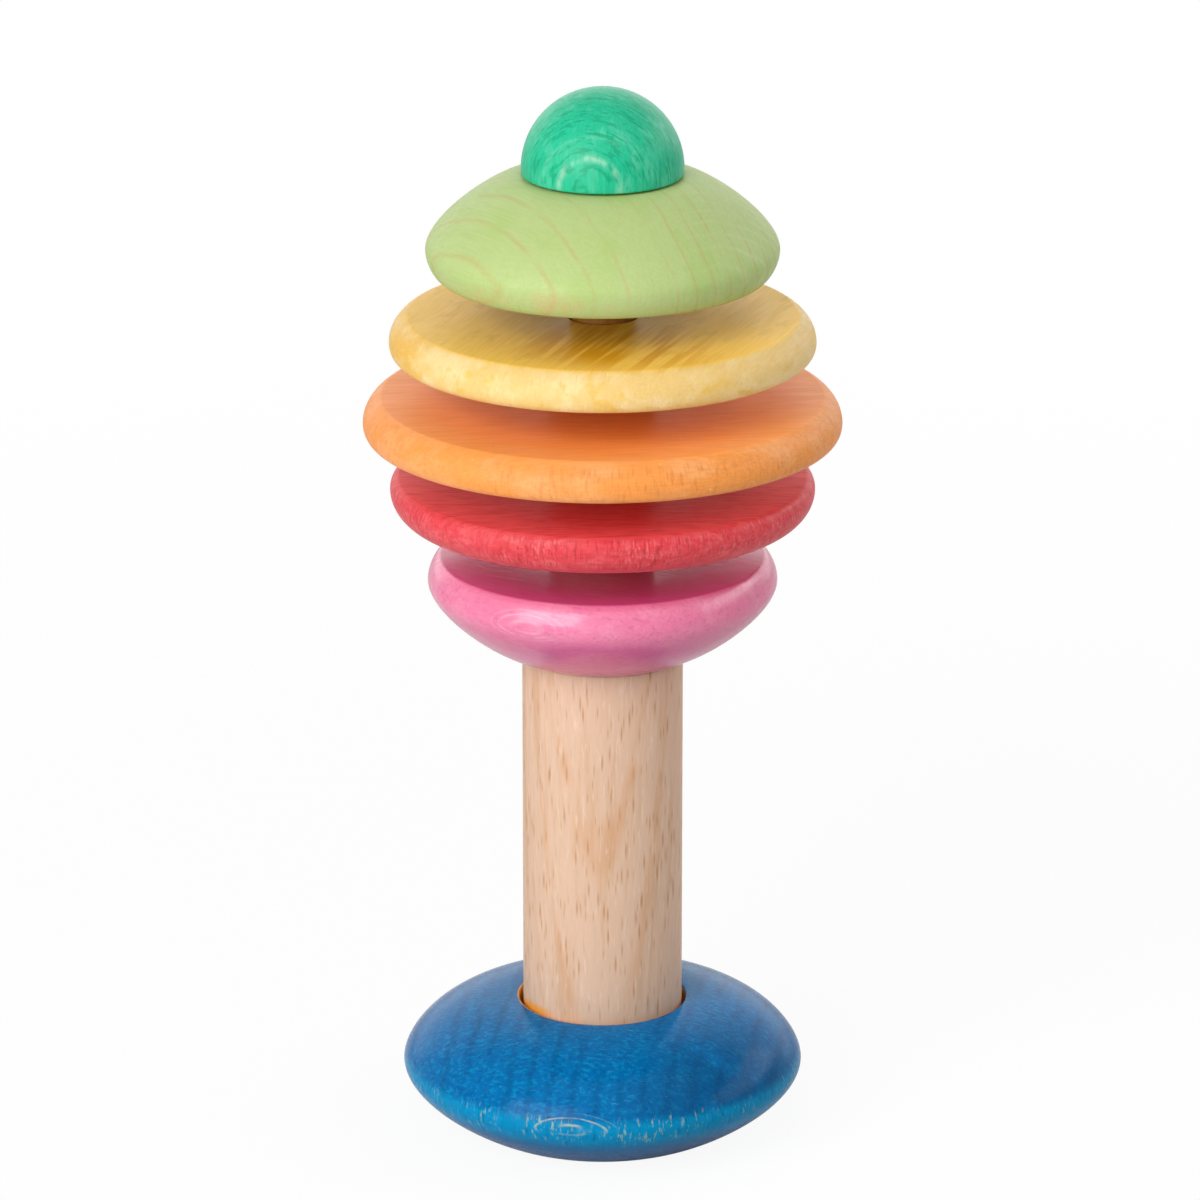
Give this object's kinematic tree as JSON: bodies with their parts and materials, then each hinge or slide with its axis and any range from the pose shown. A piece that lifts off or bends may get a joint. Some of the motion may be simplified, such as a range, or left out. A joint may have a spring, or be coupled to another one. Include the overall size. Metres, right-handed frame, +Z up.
{
  "type": "wooden rattle tree",
  "caption": "Turned wooden rattle: a beech handle on a pebble foot, with coloured discs that spin and clack on a spindle under a half-ball.",
  "frame": {"origin": "centre of the flat foot under the base", "axes": "+Z up along the spindle, which every piece is turned about; -Y faces the picture's viewer"},
  "size_m": [0.0738, 0.0738, 0.1681],
  "materials": {
    "bare_beech": "bare beech, fine sanded and lightly oiled",
    "blue_wood": "blue water stain under a satin oil, the grain showing",
    "pink_wood": "pink water stain under a satin oil, the grain showing",
    "red_wood": "red water stain under a satin oil, the grain showing",
    "orange_wood": "orange water stain under a satin oil, the grain showing",
    "yellow_wood": "yellow water stain under a satin oil, the grain showing",
    "lime_wood": "lime-green water stain under a satin oil, the grain showing",
    "teal_wood": "teal-green water stain under a satin oil, the grain showing"
  },
  "bodies": {
    "stand": {"base": "blue_wood", "handle": "bare_beech", "spindle": "bare_beech", "pink_disc": "pink_wood", "green_disc": "lime_wood", "half_ball": "teal_wood"},
    "lower_ring": {"lower_ring": "bare_beech"},
    "red_disc": {"red_disc": "red_wood"},
    "middle_ring": {"middle_ring": "bare_beech"},
    "orange_disc": {"orange_disc": "orange_wood"},
    "upper_ring": {"upper_ring": "bare_beech"},
    "yellow_disc": {"yellow_disc": "yellow_wood"}
  },
  "joints": [
    {"name": "lower_ring_lift", "type": "slide", "parent": "stand", "child": "lower_ring", "axis": [0, 0, 1], "range_m": [0, 0.002]},
    {"name": "red_disc_spin", "type": "hinge", "parent": "lower_ring", "child": "red_disc", "pos_m": [0, 0, 0.1037], "axis": [0, 0, 1], "continuous": true},
    {"name": "middle_ring_lift", "type": "slide", "parent": "lower_ring", "child": "middle_ring", "axis": [0, 0, 1], "range_m": [0, 0.002]},
    {"name": "orange_disc_spin", "type": "hinge", "parent": "middle_ring", "child": "orange_disc", "pos_m": [0, 0, 0.1166], "axis": [0, 0, 1], "continuous": true},
    {"name": "upper_ring_lift", "type": "slide", "parent": "middle_ring", "child": "upper_ring", "axis": [0, 0, 1], "range_m": [0, 0.002]},
    {"name": "yellow_disc_spin", "type": "hinge", "parent": "upper_ring", "child": "yellow_disc", "pos_m": [0, 0, 0.1294], "axis": [0, 0, 1], "continuous": true}
  ]
}
